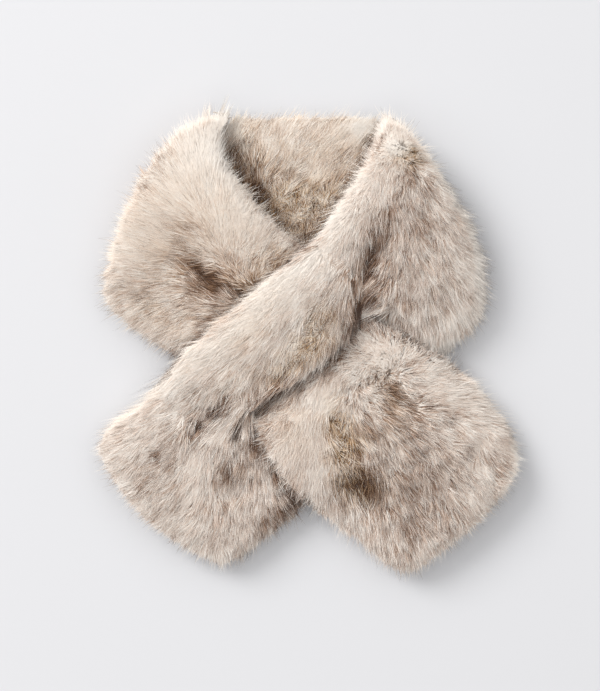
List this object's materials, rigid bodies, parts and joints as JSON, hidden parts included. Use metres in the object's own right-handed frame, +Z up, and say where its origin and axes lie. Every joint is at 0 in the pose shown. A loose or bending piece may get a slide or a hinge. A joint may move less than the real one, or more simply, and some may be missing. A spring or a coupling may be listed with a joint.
{
  "type": "fur collar wrap",
  "caption": "Pull-through plush fur neck wrap, laid flat with the collar folded at the shoulders and one tail drawn through the slit near the other.",
  "frame": {"origin": "centre of the bottom of the bounding box, on the surface the wrap lies on", "axes": "+Z up from the surface; +Y towards the neck side of the wrap; +X towards the side of the tail that is drawn through"},
  "size_m": [0.4058, 0.4404, 0.072],
  "materials": {
    "neck_back_fur": "long soft plush pile",
    "left_collar_fur": "long soft plush pile",
    "right_collar_fur": "long soft plush pile",
    "strap_fur": "long soft plush pile",
    "under_strap_fur": "long soft plush pile",
    "left_tail_fur": "long soft plush pile",
    "right_tail_fur": "long soft plush pile"
  },
  "bodies": {
    "root": {"neck_back": "neck_back_fur", "left_collar": "left_collar_fur", "right_collar": "right_collar_fur", "strap": "strap_fur", "under_strap": "under_strap_fur", "left_tail": "left_tail_fur", "right_tail": "right_tail_fur"}
  },
  "joints": []
}
